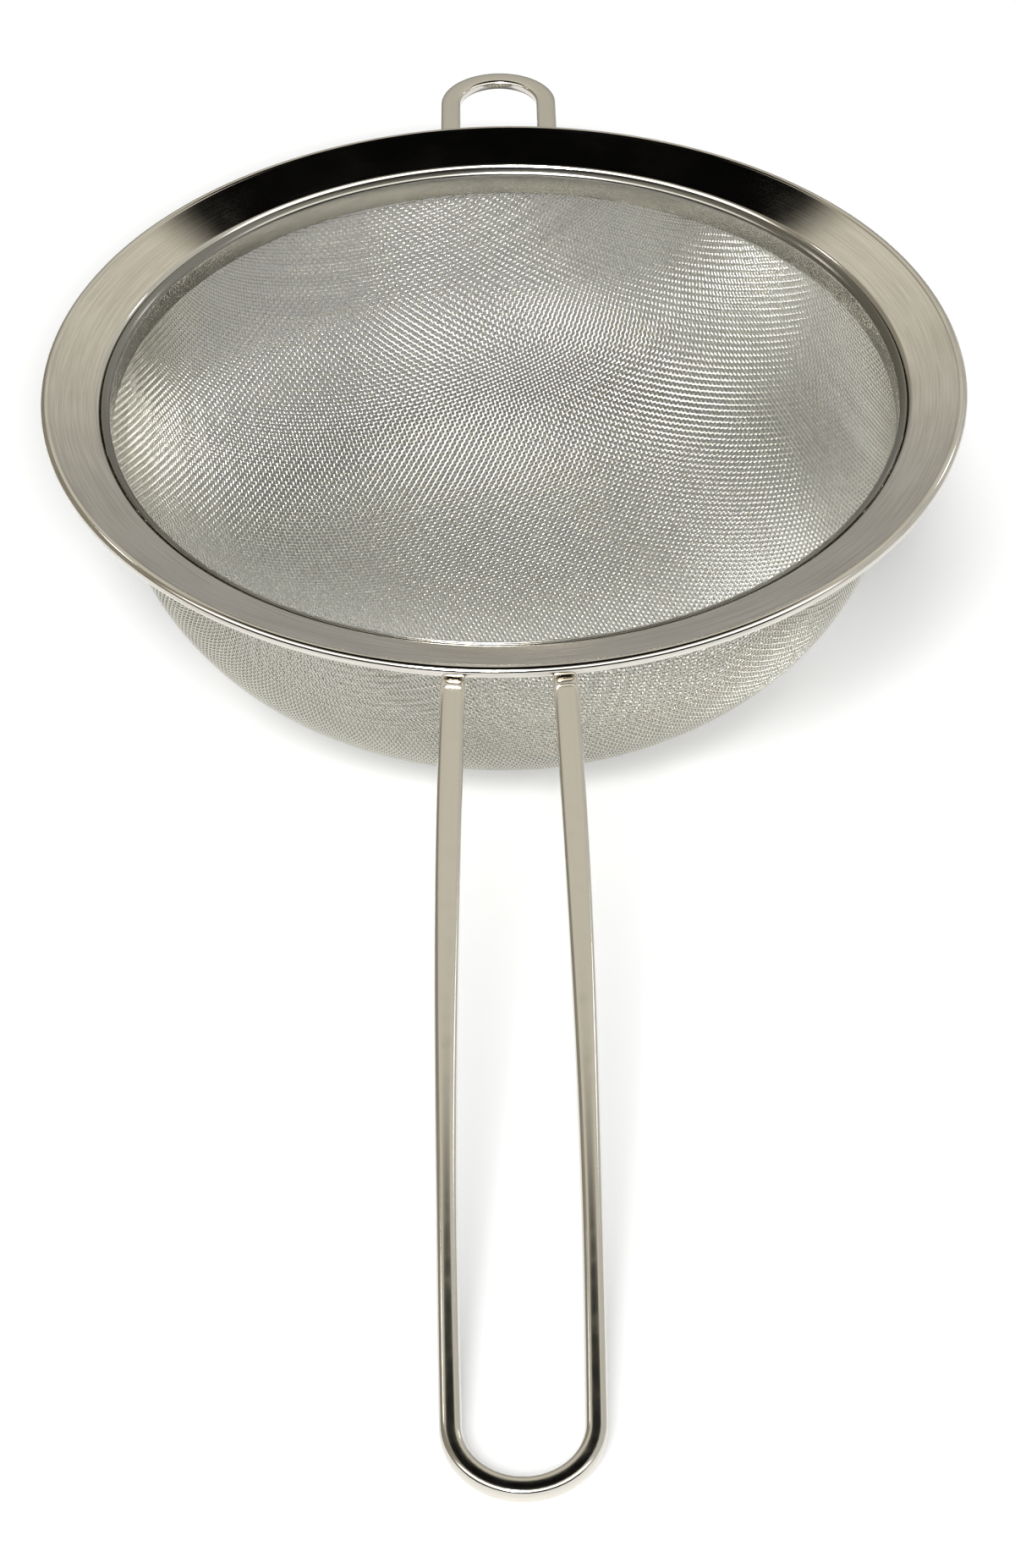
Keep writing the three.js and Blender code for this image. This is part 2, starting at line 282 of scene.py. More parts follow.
begin_line(ring_inside, ring_bottom)
straight(0, flare_start - ring_bottom)
bend((ring_inside + FLARE_RADIUS, flare_start), -math.degrees(FLARE_TURN), FLARE_STEPS)
straight(FLARE_LIP * math.sin(FLARE_TURN), FLARE_LIP * math.cos(FLARE_TURN))
ring = sheet_from_line("retaining_ring_spun", RING_SHEET, CUT_EDGE)

# %% [markdown]
# ## A net of inextensible wires
# The bowl is plain woven wire cloth, pressed to shape. Wires hardly stretch, so when flat cloth is
# pressed into a bowl its square gaps shear into diamonds between the two directions of the weave. That
# drape can be worked out exactly: starting from two crossing wires through the lowest point, every next
# knot lies one pitch from the knot before it on each of its two wires, and on the bowl's surface. Those
# are three equations for three coordinates, which a few Newton steps solve, a diagonal of knots at once.

# %% Work out the knots of one quarter of the net
BOWL_DEPTH = 64.86 * MM  # a hair less than the solid, whose flat bars don't reach its lowest point
BOWL_FULLNESS = 2.45  # 2 is an ellipse, more is squarer
BOWL_WALL = 3.6 * MM
PITCH = 0.94 * MM
NEWTON_STEPS = 8
FINE_STEPS = 4000
NEARLY_NOTHING = 1e-9

curve_top = bend_centre[1] - BOWL_WALL
cloth_top = ring_top - RING_SHEET - CLEARANCE


def off_the_bowl(points):
    """How far points lie off the bowl's middle surface, and the way in which that grows."""
    radius = np.hypot(points[:, 0], points[:, 1])
    depth = np.maximum(curve_top - points[:, 2], 0)
    share_out, share_down = radius / cloth_radius, depth / BOWL_DEPTH
    off = share_out**BOWL_FULLNESS + share_down**BOWL_FULLNESS - 1
    outwards = share_out ** (BOWL_FULLNESS - 1) / cloth_radius / np.maximum(radius, NEARLY_NOTHING)
    upwards = -(share_down ** (BOWL_FULLNESS - 1)) / BOWL_DEPTH
    way = np.stack([outwards * points[:, 0], outwards * points[:, 1], upwards], axis=1)
    return off, BOWL_FULLNESS * way


def next_knots(left, below, guess):
    """Knots on the bowl that lie one pitch from the knots to their left and below them."""
    knot = guess
    for _ in range(NEWTON_STEPS):
        off, way = off_the_bowl(knot)
        from_left, from_below = knot - left, knot - below
        slopes = np.stack([2 * from_left, 2 * from_below, way], axis=1)
        misses = np.stack([(from_left**2).sum(1) - PITCH**2, (from_below**2).sum(1) - PITCH**2, off], axis=1)
        knot = knot - np.linalg.solve(slopes, misses[:, :, None])[:, :, 0]
    return knot


def first_wire():
    """Knots of the wire that runs straight up the wall from the lowest point."""
    angle = np.linspace(math.pi / 2, 0, FINE_STEPS)
    radius = cloth_radius * np.maximum(np.cos(angle), 0) ** (2 / BOWL_FULLNESS)
    height = curve_top - BOWL_DEPTH * np.sin(angle) ** (2 / BOWL_FULLNESS)
    radius[0] = 0
    radius = np.append(radius, cloth_radius)
    height = np.append(height, cloth_top)
    length = np.append(0, np.cumsum(np.hypot(np.diff(radius), np.diff(height))))
    places = np.arange(0, length[-1], PITCH)
    across = np.interp(places, length, radius)
    return np.stack([across, np.zeros(len(places)), np.interp(places, length, height)], axis=1)


def quarter_net():
    """Knots of a quarter of the net; those that would lie above the cloth's edge aren't numbers."""
    first = first_wire()
    count = len(first)
    knots = np.full((count, count, 3), np.nan)
    knots[:, 0] = first
    knots[0, :] = first[:, [1, 0, 2]]
    for diagonal in range(2, 2 * count - 1):
        i = np.arange(max(1, diagonal - count + 1), min(diagonal - 1, count - 1) + 1)
        j = diagonal - i
        ready = np.isfinite(knots[i - 1, j, 0]) & np.isfinite(knots[i, j - 1, 0])
        i, j = i[ready], j[ready]
        if len(i) == 0:
            break
        left, below = knots[i - 1, j], knots[i, j - 1]
        found = next_knots(left, below, left + below - knots[i - 1, j - 1])
        found[found[:, 2] > cloth_top] = np.nan
        knots[i, j] = found
    return knots


net = quarter_net()
print(f"{np.isfinite(net[:, :, 0]).sum()} knots in a quarter, {len(net)} along the straight wire")

# %% [markdown]
# ## Weaving the bowl
# In a plain weave each wire goes over and under its neighbours in turn, and the next wire does the
# opposite. So each wire is a line through its knots, lifted off the surface at one and sunk at the next,
# with a plain point between them for the slope. Blender's own tool for wire is a curve with a round
# bevel, converted to a mesh, with its ends filled. The wires of one direction are mirrored to give the
# other. A map laid along each wire, one row a wire, lets the finish tell the wires apart.

# %% Weave the wires
WIRE_RADIUS = 0.155 * MM
CRIMP = 0.155 * MM  # how far a wire leaves the middle of the cloth
CLOTH_TURN = math.radians(20)
WIRE_SIDES = 4
SHEETS = 5  # pieces in each direction, so that none is too heavy
MAP_ROWS = 112  # rows in the map of a piece, one for each wire
ROW_MARGIN = 0.15  # share of a row left free before its tube
ROW_FILL = 0.6  # share of a row that the turn round a tube takes up


def woven_wire(row, first_over):
    """The line of one wire: knots lifted and sunk in turn, with plain points between them."""
    half = net[:, abs(row)]
    half = half[np.isfinite(half[:, 0])]
    line = np.concatenate([half[:0:-1] * (-1, 1, 1), half])
    line[:, 1] *= -1 if row < 0 else 1
    _, way = off_the_bowl(line)
    way /= np.linalg.norm(way, axis=1)[:, None]
    number = np.arange(len(line)) - len(half) + 1
    lift = first_over * CRIMP * (1 - 2 * ((number + row) % 2))
    wire = np.empty((2 * len(line) - 1, 3))
    wire[0::2] = line + lift[:, None] * way
    wire[1::2] = (line[1:] + line[:-1]) / 2
    return wire


def lay_map(piece, name, along, around, row, rows):
    """A map along tubes: their length from left to right, and each tube in a row of its own."""
    mesh = piece.data
    corner = np.zeros(len(mesh.loops), np.int32)
    mesh.loops.foreach_get("vertex_index", corner)
    starts = np.zeros(len(mesh.polygons), np.int32)
    mesh.polygons.foreach_get("loop_start", starts)
    sizes = np.diff(np.append(starts, len(corner)))
    turned = around[corner]
    furthest = np.repeat(np.maximum.reduceat(turned, starts), sizes)
    turned = turned + (furthest - turned > 0.5)
    places = np.stack([along[corner], (row[corner] + ROW_MARGIN + ROW_FILL * turned) / rows], axis=1)
    layer = mesh.uv_layers.new(name=name)
    layer.data.foreach_set("uv", places.astype(np.float32).ravel())


def cloth_piece(name, wires):
    """One piece of cloth: lines bevelled into wires, made a mesh, capped and mapped."""
    drawn = bpy.data.curves.new(name, "CURVE")
    drawn.dimensions = "3D"
    drawn.bevel_depth = WIRE_RADIUS
    drawn.bevel_resolution = WIRE_SIDES // 2 - 2
    for wire in wires:
        spline = drawn.splines.new("POLY")
        spline.points.add(len(wire) - 1)
        places = np.concatenate([wire, np.ones((len(wire), 1))], axis=1)
        spline.points.foreach_set("co", places.astype(np.float32).ravel())
    piece = bpy.data.objects.new(name, drawn)
    bpy.context.scene.collection.objects.link(piece)
    only(piece)
    bpy.ops.object.convert(target="MESH")
    bpy.ops.object.mode_set(mode="EDIT")
    bpy.ops.mesh.select_all(action="SELECT")
    bpy.ops.mesh.fill_holes(sides=WIRE_SIDES)
    bpy.ops.mesh.select_all(action="SELECT")
    bpy.ops.mesh.normals_make_consistent(inside=False)
    bpy.ops.object.mode_set(mode="OBJECT")
    while piece.data.uv_layers:
        piece.data.uv_layers.remove(piece.data.uv_layers[0])
    counts = [len(wire) for wire in wires]
    along = np.repeat(np.concatenate([np.linspace(0, 1, count) for count in counts]), WIRE_SIDES)
    around = np.tile(np.arange(WIRE_SIDES) / WIRE_SIDES, sum(counts))
    row = np.repeat(np.repeat(np.arange(len(counts)), counts), WIRE_SIDES)
    lay_map(piece, "OFBake", along, around, row, MAP_ROWS)
    print(f"{name}: {len(wires)} wires, {len(piece.data.polygons)} faces")
    return piece


def cloth_direction(name, first_over, swapped):
    """All wires of one direction of the weave, in a few pieces of about the same weight."""
    rows = range(1 - len(net), len(net))
    wires = [woven_wire(row, first_over) for row in rows]
    wires = [wire[:, [1, 0, 2]] if swapped else wire for wire in wires]
    turn = np.array(Matrix.Rotation(CLOTH_TURN, 3, "Z"))
    wires = [wire @ turn.T for wire in wires]
    weights = np.cumsum([len(wire) for wire in wires])
    sheet_of = np.minimum(SHEETS * weights // (weights[-1] + 1), SHEETS - 1)
    pieces = []
    for sheet in range(SHEETS):
        chosen = [wire for wire, owner in zip(wires, sheet_of) if owner == sheet]
        pieces.append(cloth_piece(f"mesh_bowl_{name}_{sheet + 1}", chosen))
    return pieces


warp = cloth_direction("warp", 1, False)
weft = cloth_direction("weft", -1, True)
cloth = warp + weft

# %% [markdown]
# ## Bars that are pressed flat and bent
# The handle and the hook are drawn steel wire. The hook, and the handle near the rim, are pressed flat,
# and the handle grows nearly round again towards its end, where its top stays slightly flattened. A real
# maker presses a straight wire and then bends it, and the same order works here: a circle is extruded
# into a straight bar, its rings are pressed by a formula, and a Curve modifier bends the bar along its
# path. The bar is mapped while it is still straight.

# %% Helpers for pressed and bent wire
WIRE_DIAMETER = 3.5 * MM
FLAT_WIDTH = 4.8 * MM
FLAT_THICKNESS = 2.4 * MM
FLAT_CORNERS = 4.0  # 2 is an ellipse, more is squarer
GRIP_CORNERS = 3.0
GRIP_THICKNESS = 3.28 * MM
BAR_SIDES = 40
BAR_STEP = 1.2 * MM
BAR_EDGE = 0.25 * MM


def straight_bar(length):
    """A round bar along X, made of many short stretches."""
    steps = round(length / BAR_STEP)
    bpy.ops.object.select_all(action="DESELECT")
    bpy.ops.mesh.primitive_circle_add(
        vertices=BAR_SIDES,
        radius=WIRE_DIAMETER / 2,
        fill_type="NGON",
        enter_editmode=True,
        rotation=(0, math.pi / 2, 0),
    )
    for _ in range(steps):
        bpy.ops.mesh.extrude_region_move(TRANSFORM_OT_translate={"value": (length / steps, 0, 0)})
    bpy.ops.mesh.select_all(action="SELECT")
    bpy.ops.mesh.normals_make_consistent(inside=False)
    bpy.ops.object.mode_set(mode="OBJECT")
    only(bpy.context.object)
    bpy.ops.object.transform_apply(location=False, rotation=True, scale=False)
    return bpy.context.object


def press_flat(piece, roundness):
    """Press each ring of the bar: roundness 0 is flat and 1 is round."""
    places = np.zeros(len(piece.data.vertices) * 3)
    piece.data.vertices.foreach_get("co", places)
    places = places.reshape(-1, 3)
    share = roundness(places[:, 0])
    angle = np.arctan2(places[:, 2], places[:, 1])
    power = 2 / (FLAT_CORNERS + (GRIP_CORNERS - FLAT_CORNERS) * share)
    width = FLAT_WIDTH + (WIRE_DIAMETER - FLAT_WIDTH) * share
    thickness = FLAT_THICKNESS + (GRIP_THICKNESS - FLAT_THICKNESS) * share
    for axis, part, size in ((1, np.cos(angle), width), (2, np.sin(angle), thickness)):
        places[:, axis] = np.sign(part) * np.abs(part) ** power * size / 2
    piece.data.vertices.foreach_set("co", places.ravel())


def bend_along(piece, path):
    """Bend a bar along a line of points with a Curve modifier."""
    drawn = bpy.data.curves.new("path", "CURVE")
    drawn.dimensions = "3D"
    drawn.twist_mode = "Z_UP"
    spline = drawn.splines.new("POLY")
    spline.points.add(len(path) - 1)
    places = np.concatenate([path, np.ones((len(path), 1))], axis=1)
    spline.points.foreach_set("co", places.astype(np.float32).ravel())
    guide = bpy.data.objects.new("path", drawn)
    bpy.context.scene.collection.objects.link(guide)
    apply_modifier(piece, "CURVE", object=guide, deform_axis="POS_X")
    bpy.data.objects.remove(guide)


def bent_bar(name, path, roundness):
    """A bar pressed and bent: straight, mapped, pressed, its ends eased, then bent along the path."""
    length = np.hypot.reduce(np.diff(path, axis=0), axis=1).sum()
    piece = straight_bar(length)
    piece.name = name
    places = np.array([vertex.co for vertex in piece.data.vertices])
    around = np.arctan2(places[:, 2], places[:, 1]) / (2 * math.pi) + 0.5
    lay_map(piece, "wire_map", places[:, 0] / length, around, np.zeros(len(places)), 1)
    press_flat(piece, lambda along: roundness(np.minimum(along, length - along)))
    ease_edges(piece, BAR_EDGE)
    bend_along(piece, path)
    smooth(piece)
    print(f"{name}: {length / MM:.0f} mm of wire, {len(piece.data.polygons)} faces")
    return piece


# %% [markdown]
# ## The path of a loop
# Both loops start under the flange, follow its slope inwards for a few millimetres to reach their welds,
# run out level past the curl and close in a half circle. The handle's legs also swell a little outwards
# on the way. One function gives the path of either: the legs by a formula, the end by an arc.

# %% Bend the handle and the hook
TUCK_BEND = 3 * MM
WELD_DIAMETER = 2 * MM
WELD_OVERLAP = 0.85 * MM  # brings the ends of the legs into their welds
HANDLE_REACH = 179.9 * MM
HANDLE_LEG_SPACING = 21.2 * MM
HANDLE_BOW = 1.1 * MM
HANDLE_END_RADIUS = 11 * MM
HANDLE_FLAT_LENGTH = 25 * MM
HANDLE_TAPER_LENGTH = 115 * MM
HOOK_REACH = 29.6 * MM
HOOK_LEG_SPACING = 23.4 * MM
PATH_STEP = 0.5 * MM

level_height = -2 * CURL_RADIUS - CLEARANCE - FLAT_THICKNESS / 2
under_flange = RIM_SHEET + CLEARANCE + FLAT_THICKNESS / 2
tuck_drop = flange_height(flange_edge[0], under_flange) - level_height
tuck_radius = flange_edge[0] - tuck_drop / math.tan(FLANGE_SLOPE)
leg_end = bend_centre[0] + WELD_DIAMETER / 2 - WELD_OVERLAP + FLAT_THICKNESS / 2 * math.sin(FLANGE_SLOPE)


def leg_height(radius):
    """Height of a leg's middle: level outside, along the flange inside, with a soft bend between."""
    inwards = np.clip(tuck_radius - radius, -TUCK_BEND, None)
    soft = (inwards + TUCK_BEND) ** 2 / (4 * TUCK_BEND)
    return level_height - np.where(inwards < TUCK_BEND, soft, inwards) * math.tan(FLANGE_SLOPE)


def loop_path(reach, spacing, bow, end_radius, end_width):
    """Points along a loop that lies outwards along +Y, from the end of one leg to that of the other."""
    round_start = RIM_RADIUS + reach - end_width / 2 - end_radius
    outwards = np.linspace(leg_end, round_start, round((round_start - leg_end) / PATH_STEP))
    share = (outwards - leg_end) / (round_start - leg_end)
    across = spacing / 2 + (end_radius - spacing / 2) * share + 4 * bow * share * (1 - share)
    leg = np.stack([across, outwards, leg_height(np.hypot(across, outwards))], axis=1)
    angle = np.linspace(0, math.pi, round(math.pi * end_radius / PATH_STEP))[1:-1]
    level = np.full(len(angle), level_height)
    end = np.stack([end_radius * np.cos(angle), round_start + end_radius * np.sin(angle), level], axis=1)
    return np.concatenate([leg, end, leg[::-1] * (-1, 1, 1)])


def handle_roundness(from_leg_end):
    """Flat near the rim, round from the end of the taper on."""
    taper_start = RIM_RADIUS + HANDLE_FLAT_LENGTH - leg_end
    share = np.clip((from_leg_end - taper_start) / HANDLE_TAPER_LENGTH, 0, 1)
    return share * share * (3 - 2 * share)


handle_path = loop_path(HANDLE_REACH, HANDLE_LEG_SPACING, HANDLE_BOW, HANDLE_END_RADIUS, WIRE_DIAMETER)
hook_path = loop_path(HOOK_REACH, HOOK_LEG_SPACING, 0, HOOK_LEG_SPACING / 2, FLAT_WIDTH)
handle = bent_bar("handle_loop_bent", handle_path * (-1, -1, 1), handle_roundness)
hook = bent_bar("rest_hook_bent", hook_path, np.zeros_like)

# %% [markdown]
# ## The welds
# A short bead of weld joins the end of each leg to the collar and the flange. A bead freezes in ripples,
# one for each step of the torch. A sphere with plenty of rings is stretched into a bead, and its rings
# swell and shrink along its length. The four beads are the same shape, each turned to lie along the collar.

# %% Model the weld beads
WELD_OVERHANG = 0.8 * MM
WELD_RADIUS = 1.5 * MM  # a little fuller than its CAD bead, to run into the metal on both sides
RIPPLE = 0.07  # share of the radius
RIPPLES = 7
BEAD_SEGMENTS = 32
BEAD_RINGS = 48


def weld_bead(name, across, towards):
    """A rippled bead at the end of a leg, lying along the collar."""
    length = FLAT_WIDTH + 2 * WELD_OVERHANG
    bpy.ops.object.select_all(action="DESELECT")
    bpy.ops.mesh.primitive_uv_sphere_add(
        segments=BEAD_SEGMENTS, ring_count=BEAD_RINGS, radius=WELD_RADIUS, rotation=(0, math.pi / 2, 0)
    )
    piece = bpy.context.object
    piece.name = name
    bpy.ops.object.transform_apply(location=False, rotation=True, scale=False)
    for vertex in piece.data.vertices:
        share = vertex.co.x / WELD_RADIUS
        swell = 1 + RIPPLE * math.cos(RIPPLES * math.pi * share + vertex.co.z / WELD_RADIUS)
        vertex.co.y *= swell
        vertex.co.z *= swell
        vertex.co.x = share * length / 2
    outwards = towards * math.sqrt(bend_centre[0] ** 2 - across**2)
    turn = -towards * math.atan2(across, abs(outwards))
    place = Matrix.Translation((across, outwards, bend_centre[1])) @ Matrix.Rotation(turn, 4, "Z")
    piece.data.transform(place)
    smooth(piece)
    return piece


welds = {}
for loop, spacing, towards in (("handle", HANDLE_LEG_SPACING, -1), ("hook", HOOK_LEG_SPACING, 1)):
    for side, sign in (("left", -1), ("right", 1)):
        node = f"{loop}_weld_{side}"
        welds[node] = weld_bead(f"{node}_bead", sign * spacing / 2, towards)
print("Weld beads:", ", ".join(sorted(welds)))

# %% [markdown]
# ## Writing finishes as sums
# A shader tree is hard to read as a list of links. One small class wraps an output socket, so that plain
# arithmetic on it adds Math nodes, and one method adds any other node with its settings and inputs. The
# metals below are then written as short sums. Patterns are read from object coordinates, brought back to
# the level rim by a Mapping node, or from the map that was laid along a wire.

# %% A socket that does sums
class Flow:
    """An output of a shader node. Arithmetic adds Math nodes, and node() adds any other node."""

    def __init__(self, tree, socket=None):
        self.tree = tree
        self.socket = socket

    def node(self, kind, settings=None, inputs=None, output=0):
        made = self.tree.nodes.new("ShaderNode" + kind)
        for name, value in (settings or {}).items():
            setattr(made, name, value)
        for name, value in (inputs or {}).items():
            self.feed(made.inputs[name], value)
        return Flow(self.tree, made.outputs[output])

    def feed(self, socket, value):
        if isinstance(value, Flow):
            self.tree.links.new(value.socket, socket)
        else:
            socket.default_value = value

    def maths(self, operation, first, second=0.0):
        return self.node("Math", {"operation": operation}, {0: first, 1: second})

    def __add__(self, other):
        return self.maths("ADD", self, other)

    def __sub__(self, other):
        return self.maths("SUBTRACT", self, other)

    def __rsub__(self, other):
        return self.maths("SUBTRACT", other, self)

    def __mul__(self, other):
        return self.maths("MULTIPLY", self, other)

    __radd__ = __add__
    __rmul__ = __mul__

    def between(self, low, high):
        """0 below low, 1 above high and smooth between them."""
        inputs = {"Value": self, "From Min": low, "From Max": high}
        return self.node("MapRange", {"interpolation_type": "SMOOTHSTEP"}, inputs)

    def mix(self, first, second):
        """From the first colour, where this is 0, to the second, where it is 1."""
        return self.node("Mix", {"data_type": "RGBA"}, {0: self, 6: first, 7: second}, 2)


def new_metal(name):
    """A metal and its shader, with a Flow to start from."""
    material = bpy.data.materials.new(name)
    material.use_nodes = True
    shader = material.node_tree.nodes["Principled BSDF"]
    shader.inputs["Metallic"].default_value = 1.0
    return material, shader, Flow(material.node_tree)


def finish_metal(shader, flow, colour, roughness, height, relief):
    """Feed the shader its colour and roughness, and its height as a bump of that relief in metres."""
    flow.feed(shader.inputs["Base Color"], colour)
    flow.feed(shader.inputs["Roughness"], roughness)
    bumped = flow.node("Bump", None, {"Strength": 1.0, "Distance": relief, "Height": height})
    flow.feed(shader.inputs["Normal"], bumped)


def level_place(flow):
    """Object coordinates, with the rim level and its middle at nothing."""
    place = flow.node("TexCoord", output="Object")
    inputs = {"Vector": place, "Location": RIM_MIDDLE, "Rotation": (LEAN, 0, 0)}
    return flow.node("Mapping", {"vector_type": "TEXTURE"}, inputs)


def vector(flow, operation, *parts, output=0):
    """Vector Math on two or three vectors."""
    return flow.node("VectorMath", {"operation": operation}, dict(enumerate(parts)), output)


# %% [markdown]
# ## Polished spun sheet
# The rim is polished while it spins, so its finest scratches are rings. They are too fine to see one by
# one, but they feather the edges of every reflection along the rim. The pattern is noise on the radius,
# broken into strokes by the direction from the axis, which has no seam. Handling leaves faint dull
# patches, so the roughness varies slowly too.

# %% Finish the rim
STEEL_LIGHT = (0.78, 0.75, 0.695, 1)
STEEL_SHADE = (0.62, 0.59, 0.535, 1)
RING_LINES = 2400  # noise cells in a metre of radius
STROKE_LENGTH = 5  # noise cells round the axis
SHEET_SPOTS = 45.0  # noise cells of the dull patches in a metre
SHEET_RELIEF = 3e-6


def ring_strokes(flow, level, lines):
    """Fine strokes that run round the axis."""
    flat = vector(flow, "MULTIPLY", level, (1, 1, 0))
    radius = vector(flow, "LENGTH", flat, output="Value")
    height = flow.node("SeparateXYZ", None, {"Vector": level}, "Z")
    way = vector(flow, "NORMALIZE", flat)
    row = flow.node("CombineXYZ", None, {"Z": (radius + height) * lines})
    place = vector(flow, "MULTIPLY_ADD", way, (STROKE_LENGTH, STROKE_LENGTH, 0), row)
    return flow.node("TexNoise", None, {"Vector": place, "Scale": 1.0, "Detail": 3.0, "Roughness": 0.62})


sheet_metal, shader, flow = new_metal("polished_spun_sheet")
level = level_place(flow)
strokes = ring_strokes(flow, level, RING_LINES)
dull = flow.node("TexNoise", None, {"Vector": level, "Scale": SHEET_SPOTS, "Detail": 4.0, "Roughness": 0.6})
colour = (strokes * 0.75 + dull * 0.25).between(0.36, 0.64).mix(STEEL_SHADE, STEEL_LIGHT)
roughness = 0.05 + dull.between(0.35, 0.75) * 0.05 + strokes * 0.04
finish_metal(shader, flow, colour, roughness, strokes, SHEET_RELIEF)
print("Finish:", sheet_metal.name)

# %% [markdown]
# ## Satin band
# The ring that holds the cloth is rolled strip, left satin. It takes the same strokes, coarser and
# deeper, on a rougher and slightly greyer steel.

# %% Finish the ring
BAND_LIGHT = (0.33, 0.32, 0.29, 1)
BAND_SHADE = (0.25, 0.24, 0.215, 1)
BAND_LINES = 3600
BAND_SPOTS = 70.0
BAND_RELIEF = 4e-6

band_metal, shader, flow = new_metal("satin_rolled_band")
level = level_place(flow)
strokes = ring_strokes(flow, level, BAND_LINES)
dull = flow.node("TexNoise", None, {"Vector": level, "Scale": BAND_SPOTS, "Detail": 3.0})
colour = strokes.mix(BAND_SHADE, BAND_LIGHT)
roughness = 0.13 + strokes * 0.07 + dull * 0.04
finish_metal(shader, flow, colour, roughness, strokes, BAND_RELIEF)
print("Finish:", band_metal.name)

# %% [markdown]
# ## Polished drawn wire
# Wire is pulled through a die, so its lines run along it. The map that was laid along each bar gives
# them: noise that hardly changes along the wire and changes quickly round it. The turn round the wire
# goes through sine and cosine, so that the lines meet where the map's two edges join. The last few
# millimetres of each leg, next to its weld, keep a straw tint from the heat.

# %% Finish the handle and the hook
WIRE_LIGHT = (0.745, 0.715, 0.66, 1)
WIRE_SHADE = (0.66, 0.63, 0.575, 1)
HEAT_STRAW = (0.50, 0.37, 0.21, 1)
DRAWN_LINES = 5.0  # noise cells across the wire
LINE_CELLS = 25  # noise cells in a metre along the wire
SPOT_CELLS = 220
SPOT_WIDTH = 0.2  # dull spots are that much coarser round the wire than its lines
HEAT_FULL = 0.003  # metres from the end of a leg
HEAT_ENDS = 0.0085
HEAT_WOBBLE = 0.004
WIRE_RELIEF = 2.5e-6
HANDLE_WIRE = 0.39  # metres
HOOK_WIRE = 0.09


def drawn_wire(name, length):
    """Polished wire of that length, with drawn lines along it and tinted ends."""
    material, shader, flow = new_metal(name)
    place = flow.node("UVMap", {"uv_map": "wire_map"})
    along = flow.node("SeparateXYZ", None, {"Vector": place}, "X") * length
    turn = flow.node("SeparateXYZ", None, {"Vector": place}, "Y") * (2 * math.pi / ROW_FILL)
    east = flow.maths("COSINE", turn) * DRAWN_LINES
    north = flow.maths("SINE", turn) * DRAWN_LINES
    row = flow.node("CombineXYZ", None, {"X": east, "Y": north, "Z": along * LINE_CELLS})
    lines = flow.node("TexNoise", None, {"Vector": row, "Scale": 1.0, "Detail": 4.0, "Roughness": 0.65})
    across = {"X": east * SPOT_WIDTH, "Y": north * SPOT_WIDTH}
    spot = flow.node("CombineXYZ", None, {**across, "Z": along * SPOT_CELLS})
    dull = flow.node("TexNoise", None, {"Vector": spot, "Scale": 1.0, "Detail": 3.0})
    from_end = flow.maths("MINIMUM", along, length - along)
    heat = 1 - (from_end + dull * HEAT_WOBBLE).between(HEAT_FULL, HEAT_ENDS)
    plain = (lines * 0.7 + dull * 0.3).mix(WIRE_SHADE, WIRE_LIGHT)
    colour = (heat * 0.75).mix(plain, HEAT_STRAW)
    roughness = 0.1 + dull.between(0.4, 0.8) * 0.06 + lines * 0.05 + heat * 0.15
    finish_metal(shader, flow, colour, roughness, lines, WIRE_RELIEF)
    return material


handle_metal = drawn_wire("polished_handle_wire", HANDLE_WIRE)
hook_metal = drawn_wire("polished_hook_wire", HOOK_WIRE)
print("Finish:", handle_metal.name, "and", hook_metal.name)

# %% [markdown]
# ## Wire cloth
# Thin wire isn't polished after weaving. It stays bright, but each wire comes from another reel, and
# rolling over and under rubs the crowns. White noise on the number of the row gives each wire its own
# tone, and noise along it gives the warm and cool flecks that cloth shows.

# %% Finish the cloth
CLOTH_WARM = (0.66, 0.63, 0.54, 1)
CLOTH_COOL = (0.60, 0.61, 0.58, 1)
FLECKS = 160  # noise cells along a wire
ROW_STEP = 7.3  # noise cells between two wires, so that they don't match

cloth_metal, shader, flow = new_metal("woven_wire")
place = flow.node("UVMap", {"uv_map": "OFBake"})
along = flow.node("SeparateXYZ", None, {"Vector": place}, "X")
row = flow.maths("FLOOR", flow.node("SeparateXYZ", None, {"Vector": place}, "Y") * MAP_ROWS)
own = flow.node("TexWhiteNoise", {"noise_dimensions": "1D"}, {"W": row})
spot = flow.node("CombineXYZ", None, {"X": along * FLECKS, "Y": row * ROW_STEP})
flecks = flow.node("TexNoise", {"noise_dimensions": "2D"}, {"Vector": spot, "Scale": 1.0, "Detail": 2.0})
colour = (own * 0.35 + flecks * 0.65).mix(CLOTH_WARM, CLOTH_COOL)
flow.feed(shader.inputs["Base Color"], colour)
flow.feed(shader.inputs["Roughness"], 0.13 + own * 0.06 + flecks * 0.08)
print("Finish:", cloth_metal.name)

# %% [markdown]
# ## Weld metal
# A weld that isn't ground keeps its heat colours: straw at its edge, brown and blue-grey in the middle.
# Coarse noise mixes them, and a finer one roughens the bead.

# %% Finish the welds
WELD_GREY = (0.42, 0.42, 0.43, 1)
WELD_BROWN = (0.40, 0.31, 0.23, 1)
TINT_CELLS = 420.0  # noise cells in a metre
GRAIN_CELLS = 3500.0
WELD_RELIEF = 2e-5

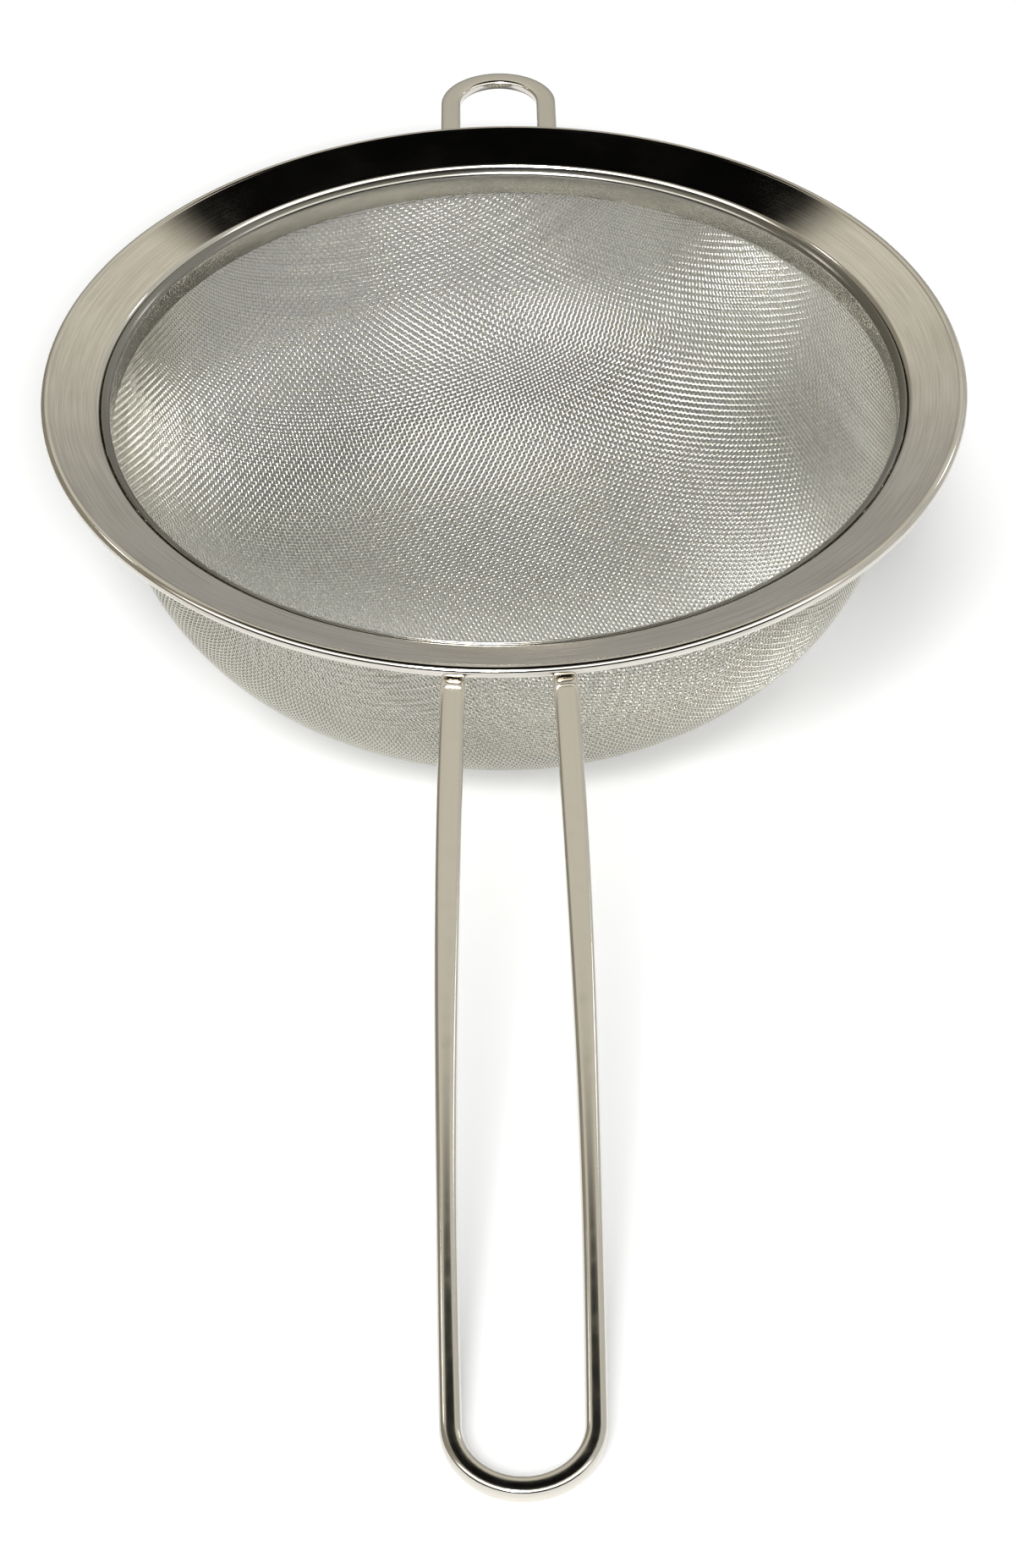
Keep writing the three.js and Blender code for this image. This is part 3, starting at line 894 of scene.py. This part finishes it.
weld_metal, shader, flow = new_metal("weld_bead")
level = level_place(flow)
tint = flow.node("TexNoise", None, {"Vector": level, "Scale": TINT_CELLS, "Detail": 2.0})
grain = flow.node("TexNoise", None, {"Vector": level, "Scale": GRAIN_CELLS, "Detail": 3.0})
colour = tint.between(0.4, 0.62).mix(WELD_GREY, WELD_BROWN)
finish_metal(shader, flow, colour, 0.34 + grain * 0.2, grain, WELD_RELIEF)
print("Finish:", weld_metal.name)

# %% [markdown]
# ## Seating the pieces
# Each piece is leaned over with the rim, and the lean is applied, so that its object sits at the origin
# and its place is in its mesh, as a CAD node's is. It then rides on the frame's one body, hides the CAD
# node that it stands for and names the slot of its finish.

# %% Seat, dress and hand over every piece
def hand_over(piece, node, material):
    """Lean a piece over with the rim, give it its finish, hang it on the root body and hide its CAD node."""
    piece.matrix_world = LEANED
    only(piece)
    bpy.ops.object.transform_apply(location=True, rotation=True, scale=True)
    piece.data.materials.clear()
    piece.data.materials.append(material)
    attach(piece, "root")
    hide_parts(node)


hand_over(rim, "rim_flange", sheet_metal)
hand_over(ring, "mesh_retaining_ring", band_metal)
hand_over(handle, "handle_loop", handle_metal)
hand_over(hook, "rest_hook", hook_metal)
for node, bead in welds.items():
    hand_over(bead, node, weld_metal)
for piece in cloth:
    hand_over(piece, "mesh_bowl", cloth_metal)
print("Seated", 4 + len(welds) + len(cloth), "pieces")

# %% [markdown]
# ## Floor and light
# Polished steel shows the room more than itself. In the photograph the flange's far side, which mirrors
# the ceiling, is black, its flanks mirror pale walls, and two lamps left and right leave white glints in
# the corners of the loops. A long white line runs along the rim's inner bend, so there is a wide window
# high up behind the camera. The world is such a room: pale walls, a dark ceiling and a dark side with that
# window, from where a broad key light comes too. The floor is pale paper, lifted to white where the camera
# or the metal sees it. Behind the bowl, where its shadow falls and where the cloth is looked through, the
# paper and its lift are painted darker: a painted shadow that reaches further back than the cast one, so
# that the bright wires stand out against it as in the photograph.

# %% Make the floor
FLOOR_SIZE = 6.0
FLOOR_DROP = 0.1 * MM
PAPER = (0.55, 0.55, 0.545, 1)
# Painted shadow: behind the bowl the paper is painted darker, and its lift to white is lowered there.
PAINTED_SHADOW_PAPER = (0.24, 0.24, 0.236, 1)
FLOOR_LIFT = (0.50, 0.50, 0.495, 1)
PAINTED_SHADOW_LIFT = (0.08, 0.08, 0.079, 1)
PAINTED_SHADOW_MIDDLE = (-0.005, 0.305, 0)
PAINTED_SHADOW_REACH = (0.112, 0.20, 1)
PAINTED_SHADOW_EDGE = (0.85, 1.3)  # shares of that reach

bpy.ops.object.select_all(action="DESELECT")
bpy.ops.mesh.primitive_plane_add(size=FLOOR_SIZE, location=(0, 0, -FLOOR_DROP))
floor = bpy.context.object
floor.name = "floor"
paper = bpy.data.materials.new("paper_with_painted_shadow")
paper.use_nodes = True
flow = Flow(paper.node_tree)
shader = paper.node_tree.nodes["Principled BSDF"]
shader.inputs["Roughness"].default_value = 0.9
shader.inputs["Specular IOR Level"].default_value = 0.0
shader.inputs["Emission Strength"].default_value = 1.0
# The painted shadow lies in a soft-edged ellipse behind the bowl, placed in the floor's own coordinates.
place = flow.node("TexCoord", output="Object")
inputs = {"Vector": place, "Location": PAINTED_SHADOW_MIDDLE, "Scale": PAINTED_SHADOW_REACH}
from_painted_shadow = flow.node("Mapping", {"vector_type": "TEXTURE"}, inputs)
outside_painted_shadow = vector(flow, "LENGTH", from_painted_shadow, output="Value").between(*PAINTED_SHADOW_EDGE)
# Painted shadow: darker paper inside the ellipse, pale paper outside it.
flow.feed(shader.inputs["Base Color"], outside_painted_shadow.mix(PAINTED_SHADOW_PAPER, PAPER))
seen = flow.node("LightPath", output="Is Camera Ray")
mirrored = flow.node("LightPath", output="Is Glossy Ray")
# Painted shadow: the lift to white is lowered inside the ellipse as well.
lift = outside_painted_shadow.mix(PAINTED_SHADOW_LIFT, FLOOR_LIFT)
flow.feed(shader.inputs["Emission Color"], (seen + mirrored).mix((0, 0, 0, 1), lift))
floor.data.materials.append(paper)
print("Floor:", FLOOR_SIZE, "m of white paper")

# %% Light the room
WALL_TOP = (0.775, 0.74, 0.635, 1)
WALL_FOOT = (0.40, 0.395, 0.37, 1)
FOOT_ENDS = math.sin(math.radians(26))
TOP_STARTS = math.sin(math.radians(76))
CEILING = (0.002, 0.002, 0.002, 1)
CEILING_STARTS = math.sin(math.radians(63))
CEILING_FULL = math.sin(math.radians(68))
DARK_SIDE = (0.30, 0.28, 0.23, 1)
DARK_SIDE_EDGE = (0.34, 0.5)  # how far the direction points to the left
LIGHT_SIDE = (0.60, 0.60, 0.57, 1)
LIGHT_SIDE_EDGE = (0.36, 0.55)  # to the right
DARK_FRONT = (0.03, 0.03, 0.028, 1)
DARK_FRONT_EDGE = (0.25, 0.55)  # to the front, behind the camera
WINDOW = (2.8, 2.8, 2.66, 1)
WINDOW_FOOT = math.sin(math.radians(28))
WINDOW_HEAD = math.sin(math.radians(52))
WINDOW_BLUR = 0.04
WINDOW_EDGE = (0.1, 0.3)  # to the front
LAMP_DISTANCE = 1.2
LAMP_SIZE = 0.12
LAMP_POWER = 0.18
LAMPS = {"left_lamp": (-0.59, 0.21, 0.77), "right_lamp": (0.62, 0.40, 0.67)}
KEY_FROM = Vector((-0.12, -0.77, 0.62))
KEY_ENERGY = 5.0
KEY_WIDTH = math.radians(22)

world = bpy.data.worlds.new("room")
world.use_nodes = True
bpy.context.scene.world = world
world.cycles_visibility.diffuse = False
flow = Flow(world.node_tree)
direction = flow.node("TexCoord", output="Generated")
rise = flow.node("SeparateXYZ", None, {"Vector": direction}, "Z")
right = flow.node("SeparateXYZ", None, {"Vector": direction}, "X")
walls = rise.between(FOOT_ENDS, TOP_STARTS).mix(WALL_FOOT, WALL_TOP)
walls = right.between(*LIGHT_SIDE_EDGE).mix(walls, LIGHT_SIDE)
walls = (0 - right).between(*DARK_SIDE_EDGE).mix(walls, DARK_SIDE)
ahead = flow.node("SeparateXYZ", None, {"Vector": direction}, "Y")
walls = (0 - ahead).between(*DARK_FRONT_EDGE).mix(walls, DARK_FRONT)
room = rise.between(CEILING_STARTS, CEILING_FULL).mix(walls, CEILING)
above_foot = rise.between(WINDOW_FOOT - WINDOW_BLUR, WINDOW_FOOT + WINDOW_BLUR)
above_head = rise.between(WINDOW_HEAD - WINDOW_BLUR, WINDOW_HEAD + WINDOW_BLUR)
window = (above_foot - above_head) * (0 - ahead).between(*WINDOW_EDGE)
room = window.mix(room, WINDOW)
seen = flow.node("LightPath", output="Is Camera Ray")
sky = seen.mix(room, (1, 1, 1, 1))
flow.feed(world.node_tree.nodes["Background"].inputs["Color"], sky)


def add_lamp(name, kind, direction):
    """A lamp in that direction from the bowl, turned to face it."""
    lamp = bpy.data.lights.new(name, kind)
    holder = bpy.data.objects.new(name, lamp)
    bpy.context.scene.collection.objects.link(holder)
    holder.location = RIM_MIDDLE + direction.normalized() * LAMP_DISTANCE
    holder.rotation_euler = direction.to_track_quat("Z", "Y").to_euler()
    return lamp


for name, direction in LAMPS.items():
    lamp = add_lamp(name, "AREA", Vector(direction))
    lamp.size = LAMP_SIZE
    lamp.energy = LAMP_POWER
key = add_lamp("front_key", "SUN", KEY_FROM)
key.energy = KEY_ENERGY
key.angle = KEY_WIDTH
bpy.context.scene.view_settings.view_transform = "Standard"
print("Lamps:", [lamp.name for lamp in bpy.data.lights])
